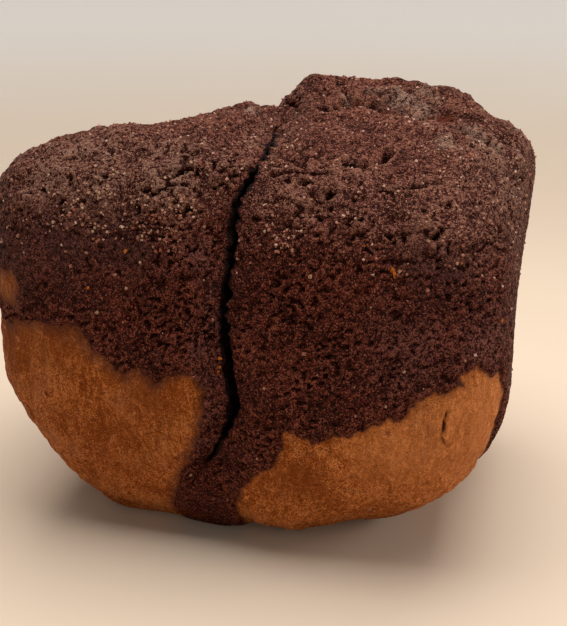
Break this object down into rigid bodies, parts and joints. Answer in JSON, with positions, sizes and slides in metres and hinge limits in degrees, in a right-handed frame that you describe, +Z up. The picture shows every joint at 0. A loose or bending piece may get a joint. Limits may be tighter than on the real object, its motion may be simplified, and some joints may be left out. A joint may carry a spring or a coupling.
{
  "type": "melon bread",
  "caption": "Melon bread loaf: fused balls of dough under a cracked, sugared cocoa cookie crust, with golden bread bared at the foot.",
  "frame": {"origin": "on the surface that the loaf stands on, under the middle of its box", "axes": "+X along the long side of the loaf, from the low ball to the tall ball; +Y away from the face with the open seam; +Z up"},
  "size_m": [0.1526, 0.1164, 0.1287],
  "materials": {
    "baked_crust": "matte"
  },
  "bodies": {
    "root": {"melon_bread": "baked_crust"}
  },
  "joints": []
}
